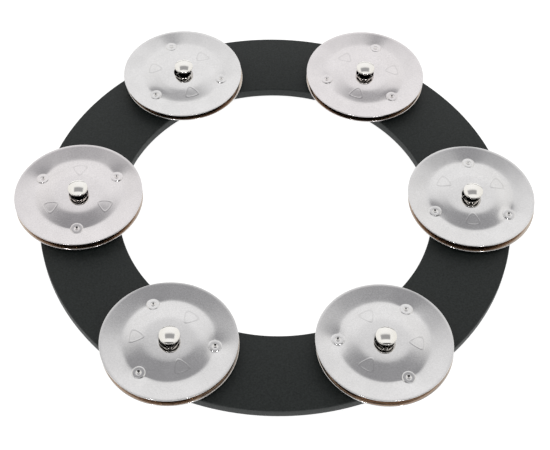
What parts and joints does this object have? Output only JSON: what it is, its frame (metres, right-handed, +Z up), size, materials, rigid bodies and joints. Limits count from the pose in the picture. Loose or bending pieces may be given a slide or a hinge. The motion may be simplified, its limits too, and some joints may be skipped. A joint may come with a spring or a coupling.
{
  "type": "tambourine",
  "caption": "Flat ring tambourine: a rigid black ring with pairs of pressed steel jingles that rattle loose on headed pins, shaken by hand or laid on a cymbal.",
  "frame": {"origin": "centre of the ring, on the plane of its flat underside", "axes": "+Z up out of the ring's top face, along the pins towards their heads; +X from the ring's centre to the first station, the part's longest direction"},
  "size_m": [0.168, 0.1524, 0.0112],
  "materials": {
    "black_plastic": "fine grained matte",
    "jingle_steel": "satin, pressed sheet",
    "pin_nickel": "polished nickel plate",
    "washer_steel": "plain turned"
  },
  "bodies": {
    "frame": {"ring": "black_plastic", "pin_1": "pin_nickel", "retaining_washer_1": "washer_steel", "pin_2": "pin_nickel", "retaining_washer_2": "washer_steel", "pin_3": "pin_nickel", "retaining_washer_3": "washer_steel", "pin_4": "pin_nickel", "retaining_washer_4": "washer_steel", "pin_5": "pin_nickel", "retaining_washer_5": "washer_steel", "pin_6": "pin_nickel", "retaining_washer_6": "washer_steel"},
    "spacer_1": {"spacer_washer_1": "washer_steel"},
    "lower_jingle_1": {"lower_jingle_1": "jingle_steel"},
    "upper_jingle_1": {"upper_jingle_1": "jingle_steel"},
    "spacer_2": {"spacer_washer_2": "washer_steel"},
    "lower_jingle_2": {"lower_jingle_2": "jingle_steel"},
    "upper_jingle_2": {"upper_jingle_2": "jingle_steel"},
    "spacer_3": {"spacer_washer_3": "washer_steel"},
    "lower_jingle_3": {"lower_jingle_3": "jingle_steel"},
    "upper_jingle_3": {"upper_jingle_3": "jingle_steel"},
    "spacer_4": {"spacer_washer_4": "washer_steel"},
    "lower_jingle_4": {"lower_jingle_4": "jingle_steel"},
    "upper_jingle_4": {"upper_jingle_4": "jingle_steel"},
    "spacer_5": {"spacer_washer_5": "washer_steel"},
    "lower_jingle_5": {"lower_jingle_5": "jingle_steel"},
    "upper_jingle_5": {"upper_jingle_5": "jingle_steel"},
    "spacer_6": {"spacer_washer_6": "washer_steel"},
    "lower_jingle_6": {"lower_jingle_6": "jingle_steel"},
    "upper_jingle_6": {"upper_jingle_6": "jingle_steel"}
  },
  "joints": [
    {"name": "stack_spin_1", "type": "hinge", "parent": "frame", "child": "spacer_1", "pos_m": [0.0635, 0, 0.0044], "axis": [0, 0, 1], "continuous": true},
    {"name": "lower_jingle_rattle_1", "type": "slide", "parent": "spacer_1", "child": "lower_jingle_1", "axis": [0, 0, 1], "range_m": [0, 0.00095]},
    {"name": "upper_jingle_rattle_1", "type": "slide", "parent": "lower_jingle_1", "child": "upper_jingle_1", "axis": [0, 0, 1], "range_m": [0, 0.00095]},
    {"name": "stack_spin_2", "type": "hinge", "parent": "frame", "child": "spacer_2", "pos_m": [0.03175, 0.05499, 0.0044], "axis": [0, 0, 1], "continuous": true},
    {"name": "lower_jingle_rattle_2", "type": "slide", "parent": "spacer_2", "child": "lower_jingle_2", "axis": [0, 0, 1], "range_m": [0, 0.00095]},
    {"name": "upper_jingle_rattle_2", "type": "slide", "parent": "lower_jingle_2", "child": "upper_jingle_2", "axis": [0, 0, 1], "range_m": [0, 0.00095]},
    {"name": "stack_spin_3", "type": "hinge", "parent": "frame", "child": "spacer_3", "pos_m": [-0.03175, 0.05499, 0.0044], "axis": [0, 0, 1], "continuous": true},
    {"name": "lower_jingle_rattle_3", "type": "slide", "parent": "spacer_3", "child": "lower_jingle_3", "axis": [0, 0, 1], "range_m": [0, 0.00095]},
    {"name": "upper_jingle_rattle_3", "type": "slide", "parent": "lower_jingle_3", "child": "upper_jingle_3", "axis": [0, 0, 1], "range_m": [0, 0.00095]},
    {"name": "stack_spin_4", "type": "hinge", "parent": "frame", "child": "spacer_4", "pos_m": [-0.0635, 0, 0.0044], "axis": [0, 0, 1], "continuous": true},
    {"name": "lower_jingle_rattle_4", "type": "slide", "parent": "spacer_4", "child": "lower_jingle_4", "axis": [0, 0, 1], "range_m": [0, 0.00095]},
    {"name": "upper_jingle_rattle_4", "type": "slide", "parent": "lower_jingle_4", "child": "upper_jingle_4", "axis": [0, 0, 1], "range_m": [0, 0.00095]},
    {"name": "stack_spin_5", "type": "hinge", "parent": "frame", "child": "spacer_5", "pos_m": [-0.03175, -0.05499, 0.0044], "axis": [0, 0, 1], "continuous": true},
    {"name": "lower_jingle_rattle_5", "type": "slide", "parent": "spacer_5", "child": "lower_jingle_5", "axis": [0, 0, 1], "range_m": [0, 0.00095]},
    {"name": "upper_jingle_rattle_5", "type": "slide", "parent": "lower_jingle_5", "child": "upper_jingle_5", "axis": [0, 0, 1], "range_m": [0, 0.00095]},
    {"name": "stack_spin_6", "type": "hinge", "parent": "frame", "child": "spacer_6", "pos_m": [0.03175, -0.05499, 0.0044], "axis": [0, 0, 1], "continuous": true},
    {"name": "lower_jingle_rattle_6", "type": "slide", "parent": "spacer_6", "child": "lower_jingle_6", "axis": [0, 0, 1], "range_m": [0, 0.00095]},
    {"name": "upper_jingle_rattle_6", "type": "slide", "parent": "lower_jingle_6", "child": "upper_jingle_6", "axis": [0, 0, 1], "range_m": [0, 0.00095]}
  ]
}
